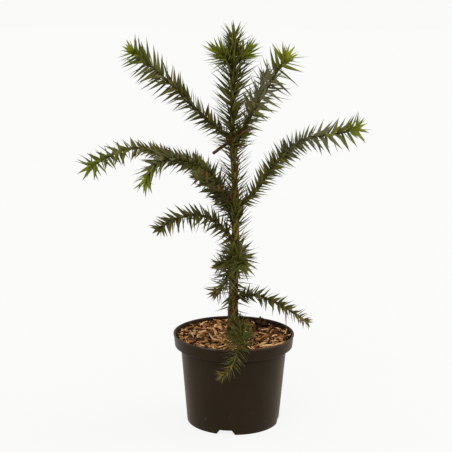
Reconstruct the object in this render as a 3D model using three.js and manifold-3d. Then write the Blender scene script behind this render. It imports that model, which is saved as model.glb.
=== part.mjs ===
// Young monkey puzzle tree in a round plastic nursery pot, topped with a bark mulch.
// Millimetres, +Z up. The origin is the middle of the pot's flat underside, +X is to the
// right and -Y to the front of the plant's usual view.
import * as THREE from "three";
import { mergeVertices } from "three/addons/utils/BufferGeometryUtils.js";
import Module from "manifold-3d";

const wasm = await Module();
wasm.setup();

// Clearance between neighbouring solids
const GAP = 0.3;

// Pot: a tapered wall with a stepped collar, a lip bead, and drain notches in its foot ring
const POT_HEIGHT = 170;
const POT_WALL = 1.8;
const FOOT_RADIUS = 86.6;
const WALL_TOP_RADIUS = 99.2;
const COLLAR_HEIGHT = 23.3;
const COLLAR_FOOT_RADIUS = 110.2;
const COLLAR_TOP_RADIUS = 112.1;
const LIP_RADIUS = 113.1;
const LIP_HEIGHT = 3.4;
const LIP_SLOPE = 0.8;
const POT_SEGMENTS = 36;
const FOOT_RING_WIDTH = { foot: 4.5, top: 7.2 };
const FLOOR_RISE = 9;
const PAD_RADIUS = 30;
const PAD_SLOPE = 4;
const NOTCH_COUNT = 4;
const NOTCH_HEADING = 261.4;
const NOTCH_FOOT_WIDTH = 36;
const NOTCH_TOP_WIDTH = 22.5;
const NOTCH_HEIGHT = 8.6;
const NOTCH_DEPTH = 20;
const DRAIN_RADIUS = 5;
const DRAIN_RING_RADIUS = 58;

// Potting mix and the bark mulch on it
const SOIL_TOP = POT_HEIGHT - COLLAR_HEIGHT + POT_WALL;
const MULCH_TOP = 159;
const MULCH_RADIUS = 107.6;
const MULCH_EDGE = 4;
const CHIP_COUNT = 36;
const CHIP_SIZE = { length: 25, width: 8, thickness: 4 };
const CHIP_SIZE_RANGE = { least: 0.7, most: 1.3 };
const CHIP_TILT = { roll: 26, pitch: 14 };
const CHIP_RING = { inner: 26, outer: 88 };

// Trunk: how far to the right of the pot's axis it stands, and its pitch in degrees at even
// stations from the soil up, where 90 is upright
const TRUNK_OFFSET = -1.6;
const TRUNK_LENGTH = 552;
const TRUNK_PITCHES = [90, 90, 88, 89, 92.5, 94, 90.5, 89, 89];
const TRUNK_FOOT_RADIUS = 10.5;
const TRUNK_TIP_RADIUS = 2.6;
const ROOT_FLARE = 3.6;
const ROOT_FLARE_SHARE = 0.05;
const TRUNK_SIDES = 8;
const TRUNK_STEPS = 18;

// Boughs: height on the trunk, heading (0 right, 90 back, 180 left, 270 front), sway of the
// heading towards the tip, length along the limb, longest leaf, and pitches above level at even stations
const BOUGHS = {
  top_left: { height: 530, heading: 188, sway: 2, length: 242, leaf: 43, pitches: [38, 46, 36] },
  top_right: { height: 512, heading: -8, sway: 0, length: 194, leaf: 45, pitches: [66, 60, 59] },
  top_back: { height: 505, heading: 61, sway: 0, length: 182, leaf: 45, pitches: [52, 47, 44] },
  mid_left: { height: 403, heading: 166, sway: -4, length: 336, leaf: 38, pitches: [40, 59, 11, 15, -25, -32] },
  mid_front: { height: 377, heading: 217, sway: 11, length: 286, leaf: 34, pitches: [65, 64, 25, 5, -68] },
  mid_right: { height: 406, heading: 10, sway: -6, length: 281, leaf: 40, pitches: [33, 57, 45, 4, 18] },
  mid_back_left: { height: 381, heading: 128, sway: -8, length: 150, leaf: 38, pitches: [38, 32, 8] },
  mid_back: { height: 371, heading: 100, sway: 4, length: 112, leaf: 36, pitches: [34, 24, 4] },
  low_left: { height: 337, heading: 194, sway: 0, length: 174, leaf: 36, pitches: [62, 39, -10, -38] },
  low_front: { height: 314, heading: 284, sway: 0, length: 58, leaf: 37, pitches: [24, 0, -36] },
  low_front_left: { height: 313, heading: 258, sway: -66, length: 90, leaf: 36, pitches: [4, -36, -56, -44, -36] },
  low_back: { height: 302, heading: 88, sway: 6, length: 128, leaf: 36, pitches: [18, 0, -24] },
  short_left: { height: 303, heading: 196, sway: 0, length: 32, leaf: 27, pitches: [8, -4, -16] },
  low_right: { height: 228, heading: -8, sway: 0, length: 158, leaf: 25, pitches: [49, -15, -29, -36] },
  foot_front: { height: 188, heading: 287, sway: -86, length: 188, leaf: 32, pitches: [2, -4, 5, -64, -22] },
};
const LIMB_ROOT_RADIUS = { short: 2.4, long: 4.5 };
const LIMB_TIP_RADIUS = 1.8;
const LONGEST_BOUGH = Math.max(...Object.values(BOUGHS).map((plan) => plan.length));
const LIMB_SIDES = 6;
const STEM_SIDES = 4;
const STEM_STEP = 28;
const BARE_LENGTH = 30;
const BARE_SHARE = 0.3;

// Crown shoots: the newest whorl, each a short leafy stem straight out of the leader
const CROWN_SHOOTS = {
  crown_left: { height: 667, heading: 200, sway: 0, length: 34, pitches: [34, 37, 40] },
  crown_right: { height: 671, heading: -20, sway: 0, length: 35, pitches: [25, 37, 49] },
  crown_back: { height: 676, heading: 96, sway: 0, length: 28, pitches: [36, 44, 52] },
};
const SHOOT_ROOT_RADIUS = 3;
const SHOOT_LEAVES = 15;
const SHOOT_LEAF_LENGTH = 37;
const SHOOT_LEAF_RANGE = { from: 0.3, to: 0.97 };

// A cut dead stub left on the trunk under the top whorl
const STUB = { height: 532, heading: 192, sway: 0, length: 43, pitches: [-30, -38] };
const STUB_RADIUS = 2.6;

// Leaf sleeves: stretches of trunk between the whorls that carry leaves of their own
const SLEEVES = {
  trunk_low: { from: 198, to: 334, count: 40, length: 36 },
  trunk_mid: { from: 350, to: 498, count: 40, length: 40 },
  leader: { from: 540, to: 696, count: 86, length: 48 },
};
const SLEEVE_WALL = 1.2;
const SLEEVE_STEP = 50;
const SLEEVE_MARGIN = { foot: 2, top: 6 };
const SLEEVE_SPREAD = { root: 60, tip: 44 };

// Leader tip: the growing point above the trunk's last solid wood
const TIP_LENGTH = 20;
const TIP_LEAVES = 16;
const TIP_LEAF_LENGTH = 34;
const TIP_SPREAD = { root: 44, tip: 14 };
const TIP_LEAF_RANGE = { from: 0.12, to: 0.9 };

// Leaves: stiff pointed blades in a golden-angle spiral, fewer and larger than life
const LEAF_HALF_WIDTH = 0.19;
const LEAF_KEEL = 0.05;
const LEAF_SHOULDER = 0.38;
const LEAF_SPACING = 7.4;
const LEAF_SPREAD = { root: 66, tip: 24 };
const LEAF_ROOT_SHARE = 0.72;
const LEAF_JITTER = { spread: 4, size: 0.07 };
const LEAF_CLEARANCE = 0.9;
const GOLDEN_ANGLE = THREE.MathUtils.degToRad(137.508);
const SEED = 20;

// Materials
const finish = (color, roughness) => new THREE.MeshStandardMaterial({ color, roughness, metalness: 0 });
const BLACK_PLASTIC = finish(0x2b2622, 0.5);
const COMPOST = finish(0x2a1b12, 0.95);
const BARK_CHIP = finish(0xa9753f, 0.9);
const TRUNK_BARK = finish(0x5b4128, 0.85);
const GREEN_BARK = finish(0x4a4a22, 0.75);
const DARK_LEAF = finish(0x48461f, 0.5);
const FRESH_LEAF = finish(0x6b7026, 0.5);

const radians = THREE.MathUtils.degToRad;
const lerp = THREE.MathUtils.lerp;
const random = seededRandom(SEED);
const evenly = (most) => lerp(-most, most, random());

// Seeded random numbers from 0 to 1
function seededRandom(seed) {
  let state = seed;
  return () => {
    state = (state + 0x6d2b79f5) | 0;
    let mixed = Math.imul(state ^ (state >>> 15), 1 | state);
    mixed = (mixed + Math.imul(mixed ^ (mixed >>> 7), 61 | mixed)) ^ mixed;
    return ((mixed ^ (mixed >>> 14)) >>> 0) / 4294967296;
  };
}

// A closed geometry as a solid, with its shared vertices merged and collapsed faces dropped
function solidOf(geometry) {
  const bare = geometry.clone();
  bare.deleteAttribute("normal");
  bare.deleteAttribute("uv");
  const merged = mergeVertices(bare, 1e-4);
  const faces = [];
  const index = merged.index.array;
  for (let i = 0; i < index.length; i += 3) {
    const [a, b, c] = index.slice(i, i + 3);
    if (a !== b && b !== c && c !== a) faces.push(a, b, c);
  }
  return new wasm.Manifold(
    new wasm.Mesh({
      numProp: 3,
      vertProperties: new Float32Array(merged.attributes.position.array),
      triVerts: new Uint32Array(faces),
    }),
  );
}

// The largest body of a fused solid: sealed hollows are filled and loose scraps dropped
function mainBody(solid) {
  return solid.decompose().sort((a, b) => b.volume() - a.volume())[0];
}

function meshOf(name, solid, material) {
  const { numProp, vertProperties, triVerts } = mainBody(solid).getMesh();
  const positions = new Float32Array((vertProperties.length / numProp) * 3);
  for (let i = 0; i * numProp < vertProperties.length; i++) {
    positions.set(vertProperties.subarray(i * numProp, i * numProp + 3), i * 3);
  }
  const geometry = new THREE.BufferGeometry();
  geometry.setAttribute("position", new THREE.BufferAttribute(positions, 3));
  geometry.setIndex(new THREE.BufferAttribute(triVerts, 1));
  const mesh = new THREE.Mesh(geometry, material);
  mesh.name = name;
  return mesh;
}

// Value at share t of a list of evenly spaced stations
function stationValue(stations, t) {
  const place = THREE.MathUtils.clamp(t, 0, 1) * (stations.length - 1);
  const before = Math.min(Math.floor(place), stations.length - 2);
  return lerp(stations[before], stations[before + 1], place - before);
}

// A line of growth from a start point, which turns through its pitches as it goes.
// at(t) gives its point, tangent and two cross directions at share t of its length.
function growthLine(start, { heading, sway, length, pitches }) {
  const steps = 48;
  const direction = (t) => {
    const pitch = radians(stationValue(pitches, t));
    const turn = radians(heading + sway * t * t);
    const level = Math.cos(pitch);
    const tangent = new THREE.Vector3(level * Math.cos(turn), level * Math.sin(turn), Math.sin(pitch));
    const side = new THREE.Vector3(-Math.sin(turn), Math.cos(turn), 0);
    return { tangent, side, up: new THREE.Vector3().crossVectors(tangent, side) };
  };
  const points = [start.clone()];
  for (let i = 0; i < steps; i++) {
    const stride = direction((i + 0.5) / steps).tangent.multiplyScalar(length / steps);
    points.push(points[i].clone().add(stride));
  }
  const at = (t) => {
    const place = THREE.MathUtils.clamp(t, 0, 1) * steps;
    const before = Math.min(Math.floor(place), steps - 1);
    const point = points[before].clone().lerp(points[before + 1], place - before);
    return { point, ...direction(t) };
  };
  return { at };
}

// A tapering limb along a line from share a to share b, closed by flat ends
function limb(line, a, b, radiusAt, sides, steps) {
  const tube = new THREE.CylinderGeometry(1, 1, 1, sides, steps);
  const position = tube.attributes.position;
  for (let i = 0; i < position.count; i++) {
    const t = lerp(a, b, position.getY(i) + 0.5);
    const { point, side, up } = line.at(t);
    const radius = radiusAt(t);
    point.addScaledVector(side, position.getX(i) * radius);
    point.addScaledVector(up, -position.getZ(i) * radius);
    position.setXYZ(i, point.x, point.y, point.z);
  }
  return solidOf(tube);
}

// One leaf: a keeled blade with its root on the line, leaning out by spread degrees. It is a
// three-sided cone from its shoulder to its tip, with the middle of the base drawn out to the root.
function leaf(frame, angle, spread, length) {
  const radial = frame.side.clone().multiplyScalar(Math.cos(angle));
  radial.addScaledVector(frame.up, Math.sin(angle));
  const along = frame.tangent.clone().multiplyScalar(Math.cos(radians(spread)));
  along.addScaledVector(radial, Math.sin(radians(spread)));
  const across = new THREE.Vector3().crossVectors(frame.tangent, radial);
  const back = new THREE.Vector3().crossVectors(across, along);
  const blade = new THREE.ConeGeometry(1, 1, 3);
  const position = blade.attributes.position;
  for (let i = 0; i < position.count; i++) {
    const [x, y, z] = [position.getX(i), position.getY(i), position.getZ(i)];
    const atAxis = Math.hypot(x, z) < 0.5;
    const run = y > 0 ? 1 : atAxis ? 0 : LEAF_SHOULDER;
    const point = frame.point.clone().addScaledVector(along, run * length);
    if (!atAxis) {
      point.addScaledVector(across, x * LEAF_HALF_WIDTH * length);
      point.addScaledVector(back, z * LEAF_KEEL * length);
    }
    position.setXYZ(i, point.x, point.y, point.z);
  }
  return solidOf(blade);
}

const boxesMeet = (a, b) => [0, 1, 2].every((i) => a.min[i] < b.max[i] && b.min[i] < a.max[i]);

// Every solid made so far, which a new leaf has to keep clear of
const made = [];
function keep(solid) {
  made.push({ solid, box: solid.boundingBox() });
  return solid;
}

// Whether a solid, swollen a little, touches none of what is already made but its own carrier
function isClear(solid, carrier) {
  const { min, max } = solid.boundingBox();
  const middle = min.map((low, i) => (low + max[i]) / 2);
  const swell = min.map((low, i) => 1 + (2 * LEAF_CLEARANCE) / Math.max(max[i] - low, 1));
  const swollen = solid
    .translate(middle.map((x) => -x))
    .scale(swell)
    .translate(middle);
  const box = swollen.boundingBox();
  return made
    .filter((other) => other.solid !== carrier && boxesMeet(box, other.box))
    .every((other) => swollen.intersect(other.solid).isEmpty());
}

// Leaves in a spiral along a line from share a to share b, without those that touch a neighbour
function leafSpiral(line, a, b, { count, length, spreads = LEAF_SPREAD, carrier }) {
  const leaves = [];
  const turn = random() * 2 * Math.PI;
  for (let i = 0; i < count; i++) {
    const share = (i + 0.5) / count;
    const spread = lerp(spreads.root, spreads.tip, share ** 3) + evenly(LEAF_JITTER.spread);
    const size = length * (lerp(LEAF_ROOT_SHARE, 1, Math.sqrt(share)) + evenly(LEAF_JITTER.size));
    const blade = leaf(line.at(lerp(a, b, share)), turn + i * GOLDEN_ANGLE, spread, size);
    if (isClear(blade, carrier)) leaves.push(blade);
  }
  return leaves;
}

const fuse = (solids) => solids.reduce((whole, solid) => whole.add(solid));

// Turns a profile of radius and height round the pot's axis
function turned(profile) {
  const points = profile.map(([radius, height]) => new THREE.Vector2(radius, height));
  return solidOf(new THREE.LatheGeometry(points, POT_SEGMENTS).rotateX(Math.PI / 2));
}

const wallRadius = (z) => lerp(FOOT_RADIUS, WALL_TOP_RADIUS, z / (POT_HEIGHT - COLLAR_HEIGHT));
const innerRadius = (z) => wallRadius(z) - POT_WALL;

// Pot: its wall, collar, lip and raised floor are one turned profile, from the axis round to the axis
function makePot() {
  const step = POT_HEIGHT - COLLAR_HEIGHT;
  const lipFoot = POT_HEIGHT - LIP_HEIGHT;
  const lipInside = COLLAR_TOP_RADIUS - POT_WALL;
  const floorTop = FLOOR_RISE + POT_WALL;
  const body = turned([
    [0, 0],
    [PAD_RADIUS, 0],
    [PAD_RADIUS + PAD_SLOPE, FLOOR_RISE],
    [FOOT_RADIUS - FOOT_RING_WIDTH.top, FLOOR_RISE],
    [FOOT_RADIUS - FOOT_RING_WIDTH.foot, 0],
    [FOOT_RADIUS, 0],
    [wallRadius(step), step],
    [COLLAR_FOOT_RADIUS, step],
    [COLLAR_TOP_RADIUS, lipFoot],
    [LIP_RADIUS, lipFoot + LIP_SLOPE],
    [LIP_RADIUS, POT_HEIGHT],
    [lipInside, POT_HEIGHT],
    [COLLAR_FOOT_RADIUS - POT_WALL, step + POT_WALL],
    [innerRadius(step), step + POT_WALL],
    [innerRadius(floorTop), floorTop],
    [PAD_RADIUS + PAD_SLOPE - POT_WALL, floorTop],
    [PAD_RADIUS - POT_WALL, POT_WALL],
    [0, POT_WALL],
  ]);
  const [footHalf, topHalf] = [NOTCH_FOOT_WIDTH / 2, NOTCH_TOP_WIDTH / 2];
  const outline = new THREE.Shape([
    new THREE.Vector2(-footHalf, -1),
    new THREE.Vector2(footHalf, -1),
    new THREE.Vector2(topHalf, NOTCH_HEIGHT),
    new THREE.Vector2(-topHalf, NOTCH_HEIGHT),
  ]);
  let pot = body;
  for (let i = 0; i < NOTCH_COUNT; i++) {
    const heading = radians(NOTCH_HEADING + (360 / NOTCH_COUNT) * i);
    const notch = new THREE.ExtrudeGeometry(outline, { depth: NOTCH_DEPTH, bevelEnabled: false });
    notch.rotateX(Math.PI / 2).translate(0, NOTCH_DEPTH / 2 - FOOT_RADIUS, 0);
    notch.rotateZ(heading + Math.PI / 2);
    const drain = new THREE.CylinderGeometry(DRAIN_RADIUS, DRAIN_RADIUS, 2 * FLOOR_RISE, 8);
    drain.rotateX(Math.PI / 2).translate(DRAIN_RING_RADIUS, 0, FLOOR_RISE).rotateZ(heading);
    pot = pot.subtract(solidOf(notch)).subtract(solidOf(drain));
  }
  return pot;
}

// Potting mix: fills the pot from its floor to the soil line
function makeSoil() {
  const floorTop = FLOOR_RISE + POT_WALL + GAP;
  const lowPad = POT_WALL + GAP;
  const step = POT_HEIGHT - COLLAR_HEIGHT;
  return turned([
    [0, lowPad],
    [PAD_RADIUS - POT_WALL - GAP, lowPad],
    [PAD_RADIUS + PAD_SLOPE - POT_WALL - GAP, floorTop],
    [innerRadius(floorTop) - GAP, floorTop],
    [innerRadius(step) - GAP, step],
    [innerRadius(step) - GAP, SOIL_TOP],
    [0, SOIL_TOP],
  ]);
}

const chipScale = () => lerp(CHIP_SIZE_RANGE.least, CHIP_SIZE_RANGE.most, random());

// Bark mulch: a bed round the trunk's foot, with the largest chips fused on at all angles
function makeMulch(trunkHole) {
  const bedFoot = SOIL_TOP + GAP;
  const bed = turned([
    [0, bedFoot],
    [MULCH_RADIUS, bedFoot],
    [MULCH_RADIUS, MULCH_TOP - MULCH_EDGE],
    [MULCH_RADIUS - MULCH_EDGE, MULCH_TOP],
    [0, MULCH_TOP],
  ]);
  const chips = [];
  for (let i = 0; i < CHIP_COUNT; i++) {
    const reach = lerp(CHIP_RING.inner ** 2, CHIP_RING.outer ** 2, (i + 0.5) / CHIP_COUNT) ** 0.5;
    const [length, width] = [CHIP_SIZE.length, CHIP_SIZE.width].map((size) => size * chipScale());
    const chip = new THREE.BoxGeometry(length, width, CHIP_SIZE.thickness);
    chip.rotateX(radians(evenly(CHIP_TILT.roll))).rotateY(radians(evenly(CHIP_TILT.pitch)));
    chip.rotateZ(evenly(Math.PI)).translate(reach, 0, MULCH_TOP).rotateZ(i * GOLDEN_ANGLE);
    chips.push(solidOf(chip));
  }
  return fuse([bed, ...chips]).subtract(trunkHole);
}

// Trunk
const trunkFoot = new THREE.Vector3(TRUNK_OFFSET, 0, SOIL_TOP + GAP);
const trunkLine = growthLine(trunkFoot, {
  heading: 0,
  sway: 0,
  length: TRUNK_LENGTH,
  pitches: TRUNK_PITCHES,
});
const trunkShare = (height) => (height - trunkFoot.z) / TRUNK_LENGTH;
function trunkRadius(t) {
  const flare = ROOT_FLARE * Math.exp(-t / ROOT_FLARE_SHARE);
  return lerp(TRUNK_FOOT_RADIUS, TRUNK_TIP_RADIUS, t ** 0.9) + flare;
}
const trunkSolid = (swell, from = 0, to = 1, steps = TRUNK_STEPS) =>
  limb(trunkLine, from, to, (t) => trunkRadius(t) + swell, TRUNK_SIDES, steps);

const lineFrom = (plan) => growthLine(trunkLine.at(trunkShare(plan.height)).point, plan);
const limbRadius = (root) => (t) => lerp(root, LIMB_TIP_RADIUS, t ** 0.8);

const plant = new THREE.Group();
const pot = keep(makePot());
const soil = makeSoil();
const trunk = keep(trunkSolid(0));
const aroundTrunk = trunkSolid(GAP);
const mulch = keep(makeMulch(aroundTrunk));
plant.add(meshOf("pot", pot, BLACK_PLASTIC));
plant.add(meshOf("potting_mix", soil, COMPOST));
plant.add(meshOf("bark_mulch", mulch, BARK_CHIP));
plant.add(meshOf("trunk", trunk, TRUNK_BARK));

// Bare feet of the boughs, from the trunk to where the foliage starts
const grown = Object.entries(BOUGHS).map(([name, plan]) => {
  const line = lineFrom(plan);
  const bare = Math.min(BARE_LENGTH, BARE_SHARE * plan.length) / plan.length;
  const { short, long } = LIMB_ROOT_RADIUS;
  const radiusAt = limbRadius(lerp(short, long, plan.length / LONGEST_BOUGH));
  const footSolid = (swell) => limb(line, 0, bare, (t) => radiusAt(t) + swell, LIMB_SIDES, 4);
  plant.add(meshOf(`bough_${name}`, keep(footSolid(0).subtract(aroundTrunk)), GREEN_BARK));
  return { name, plan, line, radiusAt, start: bare + GAP / plan.length, around: footSolid(GAP) };
});
const limbsAround = [aroundTrunk, ...grown.map((bough) => bough.around)];

// Dead stub, cut clear of the trunk and of the bough beside it
const stubLine = lineFrom(STUB);
const stubSolid = (swell) => limb(stubLine, 0, 1, () => STUB_RADIUS + swell, LIMB_SIDES, 3);
const stub = keep(mainBody(stubSolid(0).subtract(fuse(limbsAround))));
plant.add(meshOf("cut_stub", stub, TRUNK_BARK));
limbsAround.push(stubSolid(GAP));

// Leafy stems: the boughs' outer lengths
for (const { name, plan, line, radiusAt, start } of grown) {
  const stem = limb(line, start, 1, radiusAt, STEM_SIDES, Math.ceil(plan.length / STEM_STEP));
  const margin = LEAF_SPACING / plan.length;
  const count = Math.round((1 - start) / margin);
  const leaves = leafSpiral(line, start + margin, 1 - 0.5 * margin, { count, length: plan.leaf });
  plant.add(meshOf(`foliage_${name}`, keep(mainBody(fuse([stem, ...leaves]))), DARK_LEAF));
}

// Crown shoots, straight out of the leader and cut clear of it
for (const [name, plan] of Object.entries(CROWN_SHOOTS)) {
  const line = lineFrom(plan);
  const radiusAt = limbRadius(SHOOT_ROOT_RADIUS);
  const stemSolid = (swell) => limb(line, 0, 1, (t) => radiusAt(t) + swell, STEM_SIDES, 3);
  const { from, to } = SHOOT_LEAF_RANGE;
  const leaves = leafSpiral(line, from, to, { count: SHOOT_LEAVES, length: SHOOT_LEAF_LENGTH });
  const foliage = mainBody(fuse([stemSolid(0), ...leaves]).subtract(aroundTrunk));
  plant.add(meshOf(`foliage_${name}`, keep(foliage), FRESH_LEAF));
  limbsAround.push(stemSolid(GAP));
}

// Leafy sleeves round the trunk, cut clear of it and of the limbs that leave it
const aroundLimbs = fuse(limbsAround);
for (const [name, { from, to, count, length }] of Object.entries(SLEEVES)) {
  const [a, b] = [trunkShare(from), trunkShare(to)];
  const core = trunkSolid(GAP + SLEEVE_WALL, a, b, Math.ceil((to - from) / SLEEVE_STEP));
  const spiral = { count, length, spreads: SLEEVE_SPREAD, carrier: trunk };
  const [first, last] = [trunkShare(from + SLEEVE_MARGIN.foot), trunkShare(to - SLEEVE_MARGIN.top)];
  const leaves = leafSpiral(trunkLine, first, last, spiral);
  const foliage = mainBody(fuse([core, ...leaves]).subtract(aroundLimbs));
  plant.add(meshOf(`foliage_${name}`, keep(foliage), DARK_LEAF));
}

// Growing point of the leader, on the trunk's tip
const tipStart = trunkLine.at(1).point.add(new THREE.Vector3(0, 0, GAP));
const tipLine = growthLine(tipStart, { heading: 0, sway: 0, length: TIP_LENGTH, pitches: [89, 90] });
const tipStem = limb(tipLine, 0, 1, (t) => lerp(TRUNK_TIP_RADIUS, LIMB_TIP_RADIUS, t), STEM_SIDES, 1);
const tipSpiral = { count: TIP_LEAVES, length: TIP_LEAF_LENGTH, spreads: TIP_SPREAD };
const tipLeaves = leafSpiral(tipLine, TIP_LEAF_RANGE.from, TIP_LEAF_RANGE.to, tipSpiral);
plant.add(meshOf("foliage_leader_tip", mainBody(fuse([tipStem, ...tipLeaves])), FRESH_LEAF));

export default plant;
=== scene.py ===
# A young monkey puzzle tree in a black nursery pot, topped with bark mulch.
# Metres, +Z up, the front of the plant towards -Y. Plans are in millimetres and degrees; heights that
# a material reads are in metres.
import math

import bmesh
import bpy
import numpy as np
from mathutils import Euler, Matrix, Vector


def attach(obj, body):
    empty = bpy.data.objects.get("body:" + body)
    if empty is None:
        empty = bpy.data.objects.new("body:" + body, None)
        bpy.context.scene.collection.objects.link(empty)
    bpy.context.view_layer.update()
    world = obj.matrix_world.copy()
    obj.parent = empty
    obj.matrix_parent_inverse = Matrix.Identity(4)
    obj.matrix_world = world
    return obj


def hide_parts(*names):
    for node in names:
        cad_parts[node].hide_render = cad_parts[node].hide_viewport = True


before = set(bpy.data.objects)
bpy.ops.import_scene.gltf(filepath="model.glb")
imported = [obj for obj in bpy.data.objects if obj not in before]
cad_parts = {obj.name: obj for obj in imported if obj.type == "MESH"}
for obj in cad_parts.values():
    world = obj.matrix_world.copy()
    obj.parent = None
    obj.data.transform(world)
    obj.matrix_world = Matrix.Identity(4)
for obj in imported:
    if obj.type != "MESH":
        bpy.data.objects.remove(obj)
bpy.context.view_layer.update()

# Stage: a near-white sweep in broad, even daylight, as a nursery shoots its stock. Two wide, soft
# suns stand for the windows, and the sweep's grey is set so that it meets the air without a line.
scene = bpy.context.scene
scene.view_settings.view_transform = "Standard"

world = bpy.data.worlds.new("studio_air")
world.use_nodes = True
air = world.node_tree.nodes["Background"]
air.inputs["Color"].default_value = (1.0, 1.0, 0.99, 1)
air.inputs["Strength"].default_value = 0.955
scene.world = world

SUN_WIDTH = 40
SUN_COLOUR = (1.0, 0.93, 0.8)
SUNS = {
    "key_sun": {"from": (-0.4, -1.2, 1.35), "strength": 1.2},
    "fill_sun": {"from": (1.6, 0.35, 0.9), "strength": 1.4},
}
for name, plan in SUNS.items():
    lamp = bpy.data.lights.new(name, "SUN")
    lamp.angle = math.radians(SUN_WIDTH)
    lamp.energy = plan["strength"]
    lamp.color = SUN_COLOUR
    light = bpy.data.objects.new(name, lamp)
    light.rotation_euler = Vector(plan["from"]).to_track_quat("Z", "Y").to_euler()
    scene.collection.objects.link(light)

CAMERA_PITCH = 11.15
CAMERA_YAW = 0.461
CAMERA_ROLL = 0.45
CAMERA_PLACE = (0, -2.0, 0.767)
CAMERA_LENS = 88.2
lens = bpy.data.cameras.new("camera")
lens.lens = CAMERA_LENS
camera = bpy.data.objects.new("camera", lens)
camera.location = CAMERA_PLACE
aim = Euler((math.radians(90 - CAMERA_PITCH), 0, math.radians(CAMERA_YAW))).to_matrix()
camera.rotation_euler = (aim @ Matrix.Rotation(math.radians(CAMERA_ROLL), 3, "Z")).to_euler()
scene.collection.objects.link(camera)
scene.camera = camera

FLOOR_REACH = 40
floor_corners = [(x * FLOOR_REACH, y * FLOOR_REACH, 0) for x, y in ((-1, -1), (1, -1), (1, 1), (-1, 1))]
floor_mesh = bpy.data.meshes.new("floor")
floor_mesh.from_pydata(floor_corners, [], [(0, 1, 2, 3)])
floor_finish = bpy.data.materials.new("white_sweep")
floor_finish.use_nodes = True
floor_paint = floor_finish.node_tree.nodes["Principled BSDF"]
floor_paint.inputs["Base Color"].default_value = (0.08, 0.08, 0.08, 1)
floor_paint.inputs["Emission Color"].default_value = (0.848, 0.851, 0.848, 1)
floor_paint.inputs["Emission Strength"].default_value = 1
floor_paint.inputs["Roughness"].default_value = 1
floor_paint.inputs["Specular IOR Level"].default_value = 0
floor_mesh.materials.append(floor_finish)
floor = bpy.data.objects.new("floor", floor_mesh)
scene.collection.objects.link(floor)

# Pot: black polypropylene injected in one shot, with a stepped collar to stack and lift it by, a
# beaded lip, and drain notches moulded through the ring that it stands on.
MM = 0.001
POT_SEGMENTS = 144
POT_PROFILE = [
    (0, 0, 0), (30, 0, 1), (34, 9, 1), (79.4, 9, 1), (82.1, 0, 0.6), (86.6, 0, 1.2), (87.8, 14, 0),
    (99.2, 146.7, 1.5), (110.2, 146.7, 1.2), (112, 165.6, 0.5), (112.1, 166.6, 0.4), (113.1, 167.4, 0.4),
    (113.1, 170, 1), (110.3, 170, 1), (108.4, 148.5, 1.2), (97.4, 148.5, 1), (86.5, 22, 0),
    (85.8, 10.8, 1), (32.2, 10.8, 1), (28.2, 1.8, 1), (0, 1.8, 0),
]
NOTCH_HEADING = 261.4
NOTCH_COUNT = 4
NOTCH_OUTLINE = [(-18, -1), (18, -1), (11.25, 8.6), (-11.25, 8.6)]
NOTCH_REACH = (75, 95)
DRAIN = {"radius": 5, "ring": 58, "height": 10, "depth": 8, "segments": 24}
CORNER_LIMIT = 0.45
CORNER_STEPS = (0, 0.25, 0.5, 0.75, 1)
POT_CREASE = 32
SCUFF_HEIGHTS = (0.012, 0.07)
COLLAR_SHADE_HEIGHTS = (0.136, 0.1465)
COLLAR_STEP = (0.1466, 0.148)
LIP_HEIGHTS = (0.1672, 0.1684)
POT_DULL = (0.0134, 0.0088, 0.0044, 1)
POT_WORN = (0.02, 0.0136, 0.0075, 1)
# Painted shade: the colour that the wall takes just under the collar, where its shadow falls.
POT_COLLAR_SHADE = (0.004, 0.0025, 0.001, 1)
# Painted highlight: the lighter colour of a line along the top of the lip.
POT_LIP_HIGHLIGHT = (0.075, 0.062, 0.048, 1)
POT_SCUFF = (0.12, 0.08, 0.05, 1)


class Wire:
    """A socket in a node tree: operators on it add maths nodes, and node() adds any other kind."""

    def __init__(self, tree, socket=None):
        self.tree = tree
        self.socket = socket

    def node(self, kind, inputs=None, output=0, **settings):
        made = self.tree.nodes.new(kind)
        for name, value in settings.items():
            setattr(made, name, value)
        for key, value in (inputs or {}).items():
            if isinstance(value, Wire):
                self.tree.links.new(value.socket, made.inputs[key])
            else:
                made.inputs[key].default_value = value
        return Wire(self.tree, made.outputs[output])

    def into(self, socket):
        self.tree.links.new(self.socket, socket)

    def maths(self, operation, first, second):
        return self.node("ShaderNodeMath", {0: first, 1: second}, operation=operation)

    def __add__(self, other):
        return self.maths("ADD", self, other)

    def __radd__(self, other):
        return self.maths("ADD", other, self)

    def __sub__(self, other):
        return self.maths("SUBTRACT", self, other)

    def __rsub__(self, other):
        return self.maths("SUBTRACT", other, self)

    def __mul__(self, other):
        return self.maths("MULTIPLY", self, other)

    def __rmul__(self, other):
        return self.maths("MULTIPLY", other, self)

    def __truediv__(self, other):
        return self.maths("DIVIDE", self, other)

    def __rtruediv__(self, other):
        return self.maths("DIVIDE", other, self)

    def __pow__(self, other):
        return self.maths("POWER", self, other)

    def __rpow__(self, other):
        return self.maths("POWER", other, self)


def new_finish(name):
    """A material, the sockets of its shader, and a wire from the object's own coordinates."""
    made = bpy.data.materials.new(name)
    made.use_nodes = True
    sockets = made.node_tree.nodes["Principled BSDF"].inputs
    return made, sockets, Wire(made.node_tree).node("ShaderNodeTexCoord", output="Object")


def mottle(place, scale, detail=3.0, stretch=(1, 1, 1)):
    """Noise in the object's own space, with the pattern drawn out along an axis by a small stretch."""
    vector = place.node("ShaderNodeVectorMath", {0: place, 1: stretch}, operation="MULTIPLY")
    return place.node("ShaderNodeTexNoise", {"Vector": vector, "Scale": scale, "Detail": detail})


def between(value, low, high):
    """Rises smoothly from 0 where the value is low to 1 where it is high."""
    limits = {"Value": value, "From Min": low, "From Max": high}
    return value.node("ShaderNodeMapRange", limits, interpolation_type="SMOOTHSTEP")


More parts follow.
